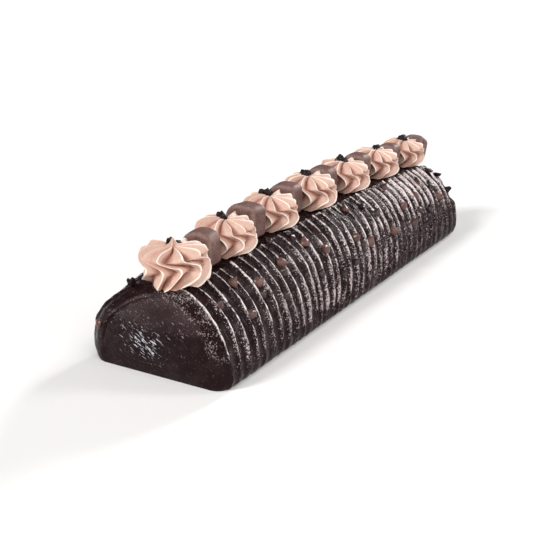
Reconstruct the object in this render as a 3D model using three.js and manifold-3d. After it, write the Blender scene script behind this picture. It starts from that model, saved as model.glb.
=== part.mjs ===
/**
 * A long iced swiss roll cake, in millimetres, +Z up.
 *
 * The uncut roll lies along X. Its icing is combed into thin ridges that climb both
 * flanks and stop at a flat strip along the top, and small chocolate drops stick to
 * the flanks. Seven piped cream rosettes stand on the strip, with a bar of chocolate
 * behind each. The near end, at -X, is smeared smooth, and the origin is the middle
 * of the flat underside.
 */
import * as THREE from "three";
import { mergeVertices } from "three/addons/utils/BufferGeometryUtils.js";
import { RoundedBoxGeometry } from "three/addons/geometries/RoundedBoxGeometry.js";
import Module from "manifold-3d";

// The row on top
const ROSETTE_COUNT = 7;
const ROSETTE_PITCH = 50;
const ROW_START = -151.5;
const ROW_OFFSET = -2.5;

// The roll
const ROLL_LENGTH = 332;
const HALF_WIDTH = 46;
const CROWN_HEIGHT = 59.5;
const CROWN_SAG = 5.5;
const BELLY_HEIGHT = 8;
const FOOT_HALF_WIDTH = 41;
const LUMP_HEIGHT = 0.5;
const STRIP_HALF_WIDTH = 15.5;
const STRIP_DEPTH = 1.6;
const LIP_ANGLE = 69;
const LIP_RAMP = 2;
const REST_HALF_WIDTH = 13.5;
const FLANK_START = 17.5;
const FLANK_SLOPE = 0.45;

// The ends: a tight shoulder and a slump at the near end, a fuller shoulder at the far one
const NEAR_SHOULDER = 8;
const FAR_SHOULDER = 14;
const LOW_SHOULDER = 0.36;
const NEAR_SLUMP = 3;
const FOOT_SPREAD = 0.65;
const SLUMP_LENGTH = 32;
const CREASE_DEPTH = 1.2;
const CREASE_SHIFT = 0.13;
const FACE_BULGE = 2.6;
const FACE_CENTRE_HEIGHT = 20.8;

// The combed ridges, which drift towards the near end low on the flanks
const RIDGE_COUNT = 38;
const RIDGE_PITCH = 8.7;
const FIRST_RIDGE = 4.2;
const RIDGE_HEIGHT = 1.5;
const RIDGE_JITTER = 0.8;
const RIDGE_FOOT = 0.21;
const RIDGE_LEAN = 11;
const LEAN_ANGLE = 50;
const RIDGE_WAVER = 0.5;

// The rosettes, which shrink a little along the row as shown
const ROSETTE_RADIUS = 18.2;
const RADIUS_LOSS = 0.45;
const ROSETTE_HEIGHT = 23.5;
const HEIGHT_LOSS = 0.3;
const ROSETTE_TILT = 3.4;
const ROSETTE_CRESTS = 10;
const ROSETTE_TURN = 210;
const CREST_BUNCHING = 0.12;
const UNDERSIDE_RADIUS = 0.45;

// The chocolate bars, the last of which leans out over the far shoulder
const BAR = new THREE.Vector3(14.5, 22.5, 19.8);
const BAR_EDGE = 3.5;
const BAR_OFFSET = 1.6;
const BAR_SCATTER = 0.7;
const BAR_LIFT = 1.2;
const BAR_TILT = 0.05;
const BAR_TURN = 0.12;
const LAST_BAR_SHIFT = -12;
const LAST_BAR_PITCH = 0.5;

// How far each bar's two ends stand from an even row, the -Y end first
const BAR_ENDS = [[0, -2.7], [0, 0], [3.5, 1.7], [5.3, 2.6], [3, 0], [3.3, -1.5], [-2, -5]];

// The drops on the flanks, in bands by their angle up the flank
const DROP_RADIUS = 3.1;
const DROP_HEIGHT = 5.4;
const DROP_ROOT = 1.2;
const DROPS_A_SIDE = 21;
const DROP_BANDS = [50, 34, 57, 27, 43];
const BAND_WIDTH = 7;

// The crumbs behind the peaks of the rosettes
const CRUMB_SIZE = 3.2;
const CRUMB_SPACING = 3.4;
const CRUMB_PLACE = new THREE.Vector3(1.5, 2, -2.4);

// Neighbours that touch keep this gap
const GAP = 0.3;

// Columns of the roll's outline, by their angle up each flank
const FLANK_ANGLES = [0, 11, 22, 33, 44, 54, 62, LIP_ANGLE];

const COLOURS = { icing: 0x1f1211, cream: 0xdcae98, bar: 0x6a4f49 };

const NEAR_END = -ROLL_LENGTH / 2;
const FAR_END = ROLL_LENGTH / 2;

/** A seeded random number between 0 and 1. */
let seed = 20;
function chance() {
  seed = (seed * 1664525 + 1013904223) % 4294967296;
  return seed / 4294967296;
}

/** A seeded random number between -reach and reach. */
function scatter(reach) {
  return reach * (2 * chance() - 1);
}

const { smoothstep, clamp, lerp, degToRad: radians } = THREE.MathUtils;

const wasm = await Module();
wasm.setup();

/** A closed skin of rows and columns, whose first and last rows are single points. */
function skin(columns, rows, place) {
  const geometry = new THREE.SphereGeometry(1, columns, rows);
  const position = geometry.getAttribute("position");
  const point = new THREE.Vector3();
  for (let row = 0; row <= rows; row++) {
    for (let column = 0; column <= columns; column++) {
      place(column % columns, row, point);
      position.setXYZ(row * (columns + 1) + column, point.x, point.y, point.z);
    }
  }
  return weld(geometry);
}

/** The same surface with its shared corners merged. */
function weld(geometry) {
  geometry.deleteAttribute("normal");
  geometry.deleteAttribute("uv");
  return mergeVertices(geometry, 1e-4);
}

function toSolid(geometry) {
  return new wasm.Manifold(new wasm.Mesh({
    numProp: 3,
    vertProperties: new Float32Array(geometry.getAttribute("position").array),
    triVerts: new Uint32Array(geometry.index.array),
  }));
}

function toGeometry(solid) {
  const mesh = solid.getMesh();
  const geometry = new THREE.BufferGeometry();
  const corners = new Float32Array(mesh.vertProperties);
  geometry.setAttribute("position", new THREE.BufferAttribute(corners, 3));
  geometry.setIndex(new THREE.BufferAttribute(new Uint32Array(mesh.triVerts), 1));
  return geometry;
}

/** The largest body of a cut or joined solid: loose scraps go and sealed hollows fill. */
function mainBody(solid) {
  const bodies = solid.decompose();
  return bodies.reduce((best, body) => (body.volume() > best.volume() ? body : best));
}

/** Height of the ridge crests along the middle of the top. */
function crownHeight(x) {
  return CROWN_HEIGHT - CROWN_SAG * (x / FAR_END) ** 2;
}

/** Height of the flat strip that the rosettes and bars stand on. */
function stripHeight(x) {
  const lip = BELLY_HEIGHT + (crownHeight(x) - BELLY_HEIGHT) * Math.sin(radians(LIP_ANGLE));
  return lip - STRIP_DEPTH;
}

/**
 * Height at which something rests on the strip, on the lips along its edges and on
 * the flanks beyond them.
 */
function restHeight(x, y) {
  const overLip = clamp((Math.abs(y) - REST_HALF_WIDTH) / LIP_RAMP, 0, 1);
  const fall = FLANK_SLOPE * Math.max(Math.abs(y) - FLANK_START, 0);
  return stripHeight(x) + GAP + (STRIP_DEPTH + LUMP_HEIGHT) * overLip - fall;
}

/**
 * The columns of the roll's outline on one flank, from the foot to the middle of the
 * top: the tuck under the belly, the rounded flank and the strip. The comb bites only
 * where grip is not 0.
 */
const OUTLINE = [
  { tuck: 90, grip: 0 },
  { tuck: 45, grip: 0.6 },
  ...FLANK_ANGLES.map((angle) => ({ angle, grip: 1 })),
  { strip: true, grip: 0 },
];
const COLUMNS = 2 * OUTLINE.length + 1;

/**
 * One point of the outline: the columns climb the -Y flank and go down the other.
 * The end faces are round on top, without the strip.
 */
function outlinePoint(column, x, onFace) {
  const faceTop = crownHeight(x) - STRIP_DEPTH;
  if (column === OUTLINE.length) {
    return { y: 0, z: onFace ? faceTop : stripHeight(x), angle: Math.PI / 2, grip: 0 };
  }
  const side = column < OUTLINE.length ? -1 : 1;
  const { tuck, angle, strip, grip } = OUTLINE[side < 0 ? column : COLUMNS - 1 - column];
  if (strip) {
    const y = side * STRIP_HALF_WIDTH * (onFace ? 0.6 : 1);
    const z = onFace ? lerp(stripHeight(x), faceTop, 0.75) : stripHeight(x);
    return { y, z, angle: Math.PI / 2, grip };
  }
  if (tuck) {
    const reach = FOOT_HALF_WIDTH + (HALF_WIDTH - FOOT_HALF_WIDTH) * Math.cos(radians(tuck));
    const z = BELLY_HEIGHT * (1 - Math.sin(radians(tuck)));
    return { y: side * reach, z, angle: side < 0 ? 0 : Math.PI, grip };
  }
  const y = side * HALF_WIDTH * Math.cos(radians(angle));
  const z = BELLY_HEIGHT + (crownHeight(x) - BELLY_HEIGHT) * Math.sin(radians(angle));
  return { y, z, angle: side < 0 ? radians(angle) : Math.PI - radians(angle), grip };
}

/** How far the combed lines drift towards the near end, low on the flanks. */
function lean(x, angle) {
  const lowness = clamp(1 - Math.sin(angle) / Math.sin(radians(LEAN_ANGLE)), 0, 1);
  const along = smoothstep(x, -95, -15) - 0.65 * smoothstep(x, 105, 160);
  return -RIDGE_LEAN * along * lowness ** 1.2;
}

/** Slow unevenness of the icing, between -1 and 1. */
function lumps(x, angle) {
  return 0.6 * Math.sin(x / 17 + 2.1 * angle) + 0.4 * Math.sin(x / 7.3 - 3.7 * angle + 1);
}

/** The inset of a rounded shoulder, at a distance from its end. */
function roundedInset(size, distance) {
  const past = clamp(size - distance, 0, size);
  return size - Math.sqrt(size ** 2 - past ** 2);
}

/** The inset of the shoulders towards the two ends. The far one is tighter low down. */
function shoulderInset(x, angle) {
  const fullness = lerp(LOW_SHOULDER, 1, smoothstep(Math.sin(angle), 0.34, 0.47));
  const far = roundedInset(FAR_SHOULDER * fullness, FAR_END - x);
  return roundedInset(NEAR_SHOULDER, x - NEAR_END) + far;
}

/** The near end slumps a little on its far side, and spreads at its foot there. */
function slump(x, angle) {
  const nearness = 1 - smoothstep(x, NEAR_END, NEAR_END + SLUMP_LENGTH);
  const rise = smoothstep(angle, radians(80), radians(112));
  const fall = smoothstep(angle, radians(125), radians(165));
  return NEAR_SLUMP * nearness * (rise * (1 - fall) - FOOT_SPREAD * fall);
}

/** The crests' places along the roll, a little uneven. */
function ridgePlaces() {
  const places = [];
  for (let k = 0; k < RIDGE_COUNT; k++) {
    places.push(NEAR_END + FIRST_RIDGE + RIDGE_PITCH * k + scatter(RIDGE_JITTER));
  }
  return places;
}

/**
 * Rings of the roll from the near end to the far end. Those with a size belong to the
 * end faces, as shares of the outline, and those with a crest are ridges.
 */
function rollStations() {
  const stations = [
    { x: NEAR_END - FACE_BULGE, size: 0 },
    { x: NEAR_END - FACE_BULGE * 0.9, size: 0.42 },
    { x: NEAR_END - FACE_BULGE * 0.35, size: 0.76, crease: true },
    { x: NEAR_END + CREASE_DEPTH, size: 0.84, crease: true },
    { x: NEAR_END + 0.1 },
    { x: NEAR_END + 1.5 },
  ];
  const places = ridgePlaces();
  places.forEach((x, k) => {
    stations.push({ x, crest: RIDGE_HEIGHT * (0.7 + 0.5 * chance()) });
    if (k === places.length - 1) return;
    const gap = places[k + 1] - x;
    stations.push({ x: x + RIDGE_FOOT * gap });
    stations.push({ x: x + (1 - RIDGE_FOOT) * gap });
  });
  stations.push({ x: FAR_END - 3 }, { x: FAR_END - 0.6 });
  stations.push({ x: FAR_END + FACE_BULGE * 0.6, size: 0.66 });
  stations.push({ x: FAR_END + FACE_BULGE, size: 0.33 });
  stations.push({ x: FAR_END + FACE_BULGE, size: 0 });
  return stations;
}

/** The size of a ring as a share of the outline, before its ridges. */
function ringSize(station, x, angle) {
  if (station.size === 0) return 0;
  const size = station.size ?? 1 - shoulderInset(x, angle) / HALF_WIDTH;
  // The crease runs closer to the middle on the far side of the near face.
  const shift = station.crease ? CREASE_SHIFT * smoothstep(angle, radians(60), radians(130)) : 0;
  return size - slump(x, angle) / HALF_WIDTH - shift;
}

/** The iced roll with its ridges, smooth near end and rounded far end. */
function rollSkin() {
  const stations = rollStations();
  return skin(COLUMNS, stations.length - 1, (column, row, point) => {
    const station = stations[row];
    const x = clamp(station.x, NEAR_END, FAR_END);
    const onFace = station.size !== undefined;
    const { y, z, angle, grip } = outlinePoint(column, x, onFace);
    // The ridges are shallower near the foot, and their valleys are cut into the outline.
    const crest = (station.crest ?? 0) * (0.55 + 0.45 * smoothstep(Math.sin(angle), 0.1, 0.6));
    const level = grip * (crest - RIDGE_HEIGHT + LUMP_HEIGHT * lumps(x, angle));
    const size = ringSize(station, x, angle);
    const drift = onFace ? 0 : lean(x, angle) + RIDGE_WAVER * Math.sin(5 * angle + x) * grip;
    point.x = station.x + drift;
    point.y = size * (y - level * Math.cos(angle));
    point.z = size === 0 ? FACE_CENTRE_HEIGHT : size * (z + level * Math.sin(angle));
  });
}

/** A place on the roll's flank, at the foot of the ridges. */
function flankPoint(x, angle) {
  const depth = RIDGE_HEIGHT + shoulderInset(x, angle);
  const y = -(HALF_WIDTH - depth) * Math.cos(angle);
  const z = BELLY_HEIGHT + (crownHeight(x) - depth - BELLY_HEIGHT) * Math.sin(angle);
  return { y, z };
}

/** A teardrop of chocolate, its flat side on the icing and its tip tilted outwards. */
function dropSolid(x, angle, turn, tilt) {
  const profile = [
    new THREE.Vector2(0, -DROP_ROOT),
    new THREE.Vector2(DROP_RADIUS * 0.95, -DROP_ROOT / 2),
    new THREE.Vector2(DROP_RADIUS * 0.75, DROP_HEIGHT * 0.42),
    new THREE.Vector2(0, DROP_HEIGHT),
  ];
  const geometry = new THREE.LatheGeometry(profile, 5);
  geometry.applyMatrix4(rotation(tilt, turn, 0, "YXZ"));
  geometry.rotateX(Math.PI / 2 - angle);
  const { y, z } = flankPoint(x, angle);
  geometry.translate(x, y, z);
  return toSolid(weld(geometry));
}

function rotation(x, y, z, order) {
  return new THREE.Matrix4().makeRotationFromEuler(new THREE.Euler(x, y, z, order));
}

/** The drops of both flanks, spread evenly with a seeded scatter. */
function dropSolids() {
  const solids = [];
  for (const side of [-1, 1]) {
    for (let k = 0; k < DROPS_A_SIDE; k++) {
      const along = (k + 0.5 + scatter(0.25)) / DROPS_A_SIDE;
      const x = lerp(NEAR_END + 8, FAR_END - 5, along);
      const band = DROP_BANDS[(k + (side > 0 ? 2 : 0)) % DROP_BANDS.length];
      const up = radians(band + scatter(BAND_WIDTH / 2));
      const angle = side < 0 ? up : Math.PI - up;
      solids.push(dropSolid(x, angle, 2 * Math.PI * chance(), 0.2 + 0.9 * chance()));
    }
  }
  return solids;
}

function buildRoll() {
  let solid = toSolid(rollSkin());
  for (const drop of dropSolids()) solid = solid.add(drop);
  return toGeometry(mainBody(solid));
}

/**
 * Rings of a rosette from its peak down: the radius and height as shares of the
 * whole, how far the star's furrows go in and down, and the turn of the swirl in
 * degrees. The crests run down to the waist, hook back there and return at the foot.
 */
const ROSETTE_RINGS = [
  { radius: 0, height: 0.91, depth: 0, dip: 0, turn: 2 },
  { radius: 0.14, height: 0.9, depth: 0.1, dip: 0.05, turn: 2 },
  { radius: 0.5, height: 0.88, depth: 0.05, dip: 0.13, turn: 5 },
  { radius: 0.78, height: 0.82, depth: 0.15, dip: 0.12, turn: 9 },
  { radius: 0.9, height: 0.7, depth: 0.24, dip: 0.03, turn: 14 },
  { radius: 0.94, height: 0.57, depth: 0.22, dip: 0, turn: 27 },
  { radius: 1, height: 0.4, depth: 0.24, dip: 0, turn: 37 },
  { radius: 1, height: 0.2, depth: 0.26, dip: 0, turn: 28 },
  { radius: 0.85, height: 0, depth: 0.18, dip: 0, turn: -2 },
  { radius: UNDERSIDE_RADIUS, height: 0, depth: 0.1, dip: 0, turn: -2 },
  { radius: 0, height: 0, depth: 0, dip: 0, turn: 0 },
];

// Columns from each crest to the next, and how far they stand out of the furrows
const CREST_STEPS = [
  { place: 0, level: 0.43 },
  { place: 0.3, level: -0.6 },
  { place: 0.7, level: -0.5 },
];

/** One piped rosette, standing on the strip. Its top is tilted towards the -Y flank. */
function rosetteSkin(centre, radius, height, tilt) {
  const columns = ROSETTE_CRESTS * CREST_STEPS.length;
  const spread = chance();
  const peak = stripHeight(centre.x) + height;
  return skin(columns, ROSETTE_RINGS.length - 1, (column, row, point) => {
    const ring = ROSETTE_RINGS[row];
    const step = CREST_STEPS[column % CREST_STEPS.length];
    const crest = Math.floor(column / CREST_STEPS.length) + step.place;
    const even = 2 * Math.PI * crest / ROSETTE_CRESTS;
    const uneven = even + CREST_BUNCHING * Math.sin(even + spread);
    const angle = uneven + radians(ring.turn + ROSETTE_TURN);
    const reach = radius * ring.radius * (1 + ring.depth * step.level);
    point.x = centre.x + reach * Math.cos(angle);
    point.y = centre.y + reach * Math.sin(angle);
    const share = ring.height + ring.dip * step.level;
    const lowered = tilt * ring.height * clamp((centre.y - point.y) / radius, 0, 1);
    point.z = lerp(restHeight(point.x, point.y), peak, share) - lowered;
  });
}

/** Dark crumbs on a rosette's peak, each a rough chip turned its own way. */
function crumbSolids(centre, peak) {
  return [-1, 0, 1].map((k) => {
    const geometry = new THREE.OctahedronGeometry(CRUMB_SIZE * (0.75 + 0.5 * chance()), 0);
    geometry.scale(1, 0.75, 0.65);
    geometry.applyMatrix4(rotation(chance() * 3, chance() * 3, chance() * 3, "XYZ"));
    const sideways = CRUMB_SPACING * k + scatter(0.6);
    const x = centre.x + CRUMB_PLACE.x - 0.6 * sideways;
    const y = centre.y + CRUMB_PLACE.y + sideways;
    geometry.translate(x, y, peak + CRUMB_PLACE.z - 0.5 * Math.abs(k));
    return toSolid(weld(geometry));
  });
}

/** A bar of chocolate, rounded all over. */
function barGeometry(k, growth) {
  const [end, otherEnd] = BAR_ENDS[k];
  const width = BAR.y + otherEnd - end;
  const [x, y, z] = [BAR.x, width, BAR.z].map((side) => side + 2 * growth);
  return weld(new RoundedBoxGeometry(x, y, z, 1, BAR_EDGE));
}

/** Where the bar behind a rosette stands, turned a little its own way. */
function barPlace(k) {
  const last = k === ROSETTE_COUNT - 1;
  const place = new THREE.Object3D();
  const x = ROW_START + ROSETTE_PITCH * (k + 0.5) + (last ? LAST_BAR_SHIFT : 0);
  const [end, otherEnd] = BAR_ENDS[k];
  const y = ROW_OFFSET + BAR_OFFSET - BAR_SCATTER * Math.cos(2.3 * k) + (end + otherEnd) / 2;
  const pitch = last ? LAST_BAR_PITCH : BAR_TILT * Math.sin(1.7 * k);
  const roll = BAR_TILT * Math.sin(3.1 * k);
  place.rotation.set(roll, pitch, BAR_TURN * Math.sin(2.9 * k + 1));
  const tip = BAR.x / 2 * Math.abs(Math.sin(pitch)) + BAR.y / 2 * Math.abs(Math.sin(roll));
  place.position.set(x, y, stripHeight(x) + BAR.z / 2 + (last ? tip / 2 : tip + BAR_LIFT));
  place.updateMatrix();
  return place;
}

/** A rosette with its crumbs, pressed against the bars beside it. */
function buildRosette(k, bars) {
  const centre = new THREE.Vector2(ROW_START + ROSETTE_PITCH * k, ROW_OFFSET);
  const height = ROSETTE_HEIGHT - HEIGHT_LOSS * k;
  const tilt = k === 0 ? 0 : ROSETTE_TILT;
  let solid = toSolid(rosetteSkin(centre, ROSETTE_RADIUS - RADIUS_LOSS * k, height, tilt));
  for (const crumb of crumbSolids(centre, stripHeight(centre.x) + height)) solid = solid.add(crumb);
  for (const bar of bars.slice(Math.max(k - 1, 0), k + 1)) solid = solid.subtract(bar);
  return toGeometry(mainBody(solid));
}

const materials = {
  icing: new THREE.MeshStandardMaterial({ color: COLOURS.icing, roughness: 0.35, metalness: 0 }),
  cream: new THREE.MeshStandardMaterial({ color: COLOURS.cream, roughness: 0.6, metalness: 0 }),
  bar: new THREE.MeshStandardMaterial({ color: COLOURS.bar, roughness: 0.45, metalness: 0 }),
};

const cake = new THREE.Group();

function addPiece(name, geometry, material) {
  const mesh = new THREE.Mesh(geometry, material.clone());
  mesh.name = name;
  cake.add(mesh);
  return mesh;
}

addPiece("cake_roll", buildRoll(), materials.icing);

const grownBars = [];
for (let k = 0; k < ROSETTE_COUNT; k++) {
  const place = barPlace(k);
  grownBars.push(toSolid(barGeometry(k, GAP).applyMatrix4(place.matrix)));
  const bar = addPiece(`chocolate_bar_${k + 1}`, barGeometry(k, 0), materials.bar);
  bar.position.copy(place.position);
  bar.rotation.copy(place.rotation);
}

for (let k = 0; k < ROSETTE_COUNT; k++) {
  addPiece(`rosette_${k + 1}`, buildRosette(k, grownBars), materials.cream);
}

export default cake;
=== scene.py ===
"""An iced chocolate swiss roll with piped rosettes, chocolate bars and chocolate drops.

The roll lies along X on the floor, in metres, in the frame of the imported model. Each
operator makes one kind of piece, and the panel in the 3D view's sidebar lists them.
"""

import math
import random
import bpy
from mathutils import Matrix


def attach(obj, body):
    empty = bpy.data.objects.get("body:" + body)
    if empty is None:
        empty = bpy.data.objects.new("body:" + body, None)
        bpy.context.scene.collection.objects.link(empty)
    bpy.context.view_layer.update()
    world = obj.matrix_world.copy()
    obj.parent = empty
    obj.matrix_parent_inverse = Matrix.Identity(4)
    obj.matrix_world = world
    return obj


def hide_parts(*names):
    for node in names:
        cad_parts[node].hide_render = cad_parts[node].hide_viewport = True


bl_info = {
    "name": "Iced Swiss Roll",
    "version": (1, 0, 0),
    "blender": (4, 5, 0),
    "location": "View3D > Sidebar > Swiss Roll",
    "description": "Makes an iced swiss roll with piped rosettes, bars and drops of chocolate",
    "category": "Add Mesh",
}

import bpy
import numpy as np
from bpy.props import FloatProperty, FloatVectorProperty, IntProperty, PointerProperty
from mathutils import Euler, Matrix, Vector, noise

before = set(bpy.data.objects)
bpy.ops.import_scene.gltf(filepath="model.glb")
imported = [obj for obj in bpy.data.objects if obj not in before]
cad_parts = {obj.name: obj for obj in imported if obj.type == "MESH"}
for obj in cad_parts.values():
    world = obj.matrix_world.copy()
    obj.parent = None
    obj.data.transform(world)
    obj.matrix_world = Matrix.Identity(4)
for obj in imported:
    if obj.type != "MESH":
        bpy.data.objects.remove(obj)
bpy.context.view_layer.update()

MM = 0.001

# Angle of the strip's two lips, up from the sides of the roll
LIP_ANGLE = math.radians(69)
# How far from the middle cream meets a lip, the width of the lip, and where the flank falls away
LIP_START = 13.5 * MM
LIP_WIDTH = 2 * MM
FLANK_START = 17.5 * MM
# The far shoulder is tighter low down: the share of its radius there, and the sines of the
# angles between which it grows to the whole
LOW_SHOULDER = 0.36
SHOULDER_GROWS = (0.34, 0.47)
# How far the combed lines drift along the roll, low on the flanks
DRIFT = 11 * MM
# How far the near end slumps, how much of that it spreads at the foot, and its length
NEAR_SLUMP = 3 * MM
FOOT_SPREAD = 0.65
SLUMP_LENGTH = 32 * MM
# From the near end to where the comb was set down, and to the first crest
COMB_START = 4 * MM
FIRST_CREST = 4.2 * MM
# The middle of the first rosette, along the roll and across it
FIRST_ROSETTE = -151.5 * MM
ROW_ASIDE = -2.5 * MM

ROSETTES = sorted(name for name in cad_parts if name.startswith("rosette"))
BARS = sorted(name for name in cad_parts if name.startswith("chocolate_bar"))


# Colours and sizes that a user would change


def linear(colour):
    """An sRGB hex colour as linear red, green, blue and alpha."""
    channels = [int(colour[k : k + 2], 16) / 255 for k in (1, 3, 5)]
    return [c / 12.92 if c < 0.04045 else ((c + 0.055) / 1.055) ** 2.4 for c in channels] + [1.0]


def colour_of(name, description, colour):
    """A colour that a user can change, from its sRGB hex value."""
    return FloatVectorProperty(
        name=name, description=description, subtype="COLOR", size=4, default=linear(colour))


def length_of(name, description, millimetres):
    """A length that a user can change, from its millimetres."""
    return FloatProperty(
        name=name, description=description, unit="LENGTH", precision=5, default=millimetres * MM)


class RollProperties(bpy.types.PropertyGroup):
    length: length_of("Length", "Length of the roll between its two end faces", 332)
    half_width: length_of("Half width", "From the middle to a flank", 46)
    crown: length_of("Crown", "Height of the crests in the middle of the roll", 59.5)
    sag: length_of("Sag", "How much lower the roll is at its ends", 5.5)
    belly: length_of("Belly", "Height of the widest place", 8)
    foot: length_of("Foot", "Half the width of the flat underside", 41)
    near_shoulder: length_of("Near shoulder", "Radius of the shoulder at the near end", 8)
    far_shoulder: length_of("Far shoulder", "Radius of the shoulder at the far end", 14)
    bulge: length_of("Bulge", "How far the end faces stand out", 2.6)
    face_centre: length_of("Face centre", "Height of the middle of the end faces", 20.8)
    strip_depth: length_of("Strip depth", "How far the strip lies below its lips", 1.6)
    ridges: IntProperty(name="Ridges", description="Number of combed ridges", default=38)
    pitch: length_of("Ridge pitch", "Mean distance from crest to crest", 8.7)
    ridge_height: length_of("Ridge height", "Height of a crest over the icing", 1.7)
    colour: colour_of("Icing", "Colour of the chocolate icing", "#1D0C0E")
    # Paler icing in random blotches, and painted light on the upper part of the near end
    blotch_and_light_colour: colour_of("Icing on the ridges", "Colour of the icing where it dried a little", "#483839")
    # Pale specks, painted glints
    glint_speck_colour: colour_of("Specks", "Colour of the fine pale specks", "#EBD8D8")
    # Painted highlight along the icing's thin crests and lips
    crest_highlight_colour: colour_of("Crests", "Colour of the thin dried crests", "#F3EAE6")
    glint_colour: colour_of("Glints", "Colour of the wet glints on the near end", "#DDDEE4")


class RosetteProperties(bpy.types.PropertyGroup):
    radius: length_of("Radius", "Radius of the first rosette", 18.2)
    height: length_of("Height", "Height of the first rosette over the strip", 23.5)
    pitch: length_of("Pitch", "From one rosette to the next", 50)
    colour: colour_of("Cream", "Colour of the buttercream", "#D4B09F")
    # Painted highlight along the cream's thin crests
    crest_highlight_colour: colour_of("Cream crests", "Colour of the thin crests", "#FFEFE3")
    shaded_colour: colour_of("Shaded cream", "Colour of the sides of the furrows", "#B98776")
    # Painted shade deep in the furrows
    furrow_shade_colour: colour_of("Cream furrows", "Colour deep in the furrows", "#703F31")


class BarProperties(bpy.types.PropertyGroup):
    size: FloatVectorProperty(
        name="Size", description="Length, width and height of a bar", subtype="XYZ", unit="LENGTH",
        default=(14.5 * MM, 22.5 * MM, 19.8 * MM))
    edge: length_of("Edge", "Radius of the rounded edges", 3.5)
    colour: colour_of("Coating", "Colour of the milk chocolate", "#684A45")
    dark_colour: colour_of("Dark patches", "Colour of the coating's darker patches", "#573E39")
    light_colour: colour_of("Light patches", "Colour of the coating's lighter patches", "#735952")
    # Paler edges: partly rubbed coating, partly painted highlight
    edge_wear_and_highlight_colour: colour_of("Rubbed edges", "Colour of the coating where it is rubbed", "#8D756D")
    bloom_colour: colour_of("Bloom", "Colour of the fine bloom on the coating", "#B89A90")


class DropProperties(bpy.types.PropertyGroup):
    radius: length_of("Radius", "Radius of a drop's foot", 3.5)
    height: length_of("Height", "Height of a drop", 5.2)
    colour: colour_of("Drops", "Colour of the drops", "#64423B")
    dark_colour: colour_of("Dark drops", "Colour of the darkest drops", "#241312")


class CrumbProperties(bpy.types.PropertyGroup):
    colour: colour_of("Crumbs", "Colour of the crumbs", "#2E1B19")
    # Darker patches at random
    dark_colour: colour_of("Dark sides", "Colour of the crumbs' darker sides", "#0E0606")
    # Pale patches at random, painted glints
    light_colour: colour_of("Broken faces", "Colour of the crumbs' broken faces", "#6E5552")


class StageProperties(bpy.types.PropertyGroup):
    floor_colour: colour_of("Floor", "Colour of the floor", "#F4F2F0")
    patch_colour: colour_of("Floor patches", "Colour of the floor's faint patches", "#F0EEEC")


# Making nodes, meshes and pieces


def set_inputs(node, inputs):
    """Sets each input to its value, or links it where the value is another node's output."""
    for key, value in inputs.items():
        if isinstance(value, bpy.types.NodeSocket):
            node.id_data.links.new(value, node.inputs[key])
        else:
            node.inputs[key].default_value = value


def add_node(tree, kind, inputs=None, output=None, stops=None, **settings):
    """Adds a shader node with its settings, inputs and ramp stops.

    Gives back the output of that name, or the first one in use.
    """
    made = tree.nodes.new("ShaderNode" + kind)
    for key, value in settings.items():
        setattr(made, key, value)
    set_inputs(made, inputs or {})
    if stops:
        elements = made.color_ramp.elements
        while len(elements) < len(stops):
            elements.new(0.5)
        for element, (position, shade) in zip(elements, stops):
            element.position = position
            element.color = shade
    return made.outputs[output] if output else next(socket for socket in made.outputs if socket.enabled)


def deselect_all():
    if bpy.context.object and bpy.context.object.mode != "OBJECT":
        bpy.ops.object.mode_set(mode="OBJECT")
    bpy.ops.object.select_all(action="DESELECT")


def select_only(piece):
    deselect_all()
    piece.select_set(True)
    bpy.context.view_layer.objects.active = piece


def apply_modifier(piece, kind, **settings):
    """Adds a modifier to a piece and applies it."""
    select_only(piece)
    modifier = piece.modifiers.new(kind.title(), kind)
    for key, value in settings.items():
        setattr(modifier, key, value)
    bpy.ops.object.modifier_apply(modifier=modifier.name)


def corners_of(piece):
    """The places of a piece's corners, one row each."""
    co = np.empty(len(piece.data.vertices) * 3)
    piece.data.vertices.foreach_get("co", co)
    return co.reshape(-1, 3)


def move_corners(piece, co):
    piece.data.vertices.foreach_set("co", np.ascontiguousarray(co).ravel())
    piece.data.update()


def mark_corners(piece, name, values):
    """Keeps a number at each corner for the material, such as how near a crest it is."""
    layer = piece.data.attributes.get(name) or piece.data.attributes.new(name, "FLOAT", "POINT")
    layer.data.foreach_set("value", np.ascontiguousarray(values, dtype=np.float32).ravel())


def ball(name, columns, rows):
    """A ball of rows and columns, with the row and column of each of its corners."""
    deselect_all()
    bpy.ops.mesh.primitive_uv_sphere_add(segments=columns, ring_count=rows, radius=1)
    piece = bpy.context.object
    piece.name = piece.data.name = name
    x, y, z = corners_of(piece).T
    row = np.rint(np.arccos(np.clip(z, -1, 1)) / np.pi * rows).astype(int)
    column = np.rint(np.arctan2(y, x) / (2 * np.pi) * columns).astype(int) % columns
    return piece, row, column


def finish_piece(piece, material, slot, *nodes):
    """Smooths a piece, gives it its material and hands it to the frame."""
    select_only(piece)
    bpy.ops.object.transform_apply(location=True, rotation=True, scale=True)
    bpy.ops.object.mode_set(mode="EDIT")
    bpy.ops.mesh.select_all(action="SELECT")
    bpy.ops.mesh.normals_make_consistent(inside=False)
    bpy.ops.object.mode_set(mode="OBJECT")
    bpy.ops.object.shade_smooth()
    piece.data.materials.clear()
    piece.data.materials.append(material)
    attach(piece, "root")
    if nodes:
        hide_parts(*nodes)


def join_pieces(pieces, name):
    select_only(pieces[0])
    for piece in pieces:
        piece.select_set(True)
    bpy.ops.object.join()
    pieces[0].name = pieces[0].data.name = name


def smooth(value, low, high):
    """0 below low and 1 above high, with a smooth rise between."""
    t = np.clip((value - low) / (high - low), 0, 1)
    return t * t * (3 - 2 * t)


def hump(value, width):
    """1 where the value is 0, and less and less over that width to either side."""
    return np.exp(-((value / width) ** 2))


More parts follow.
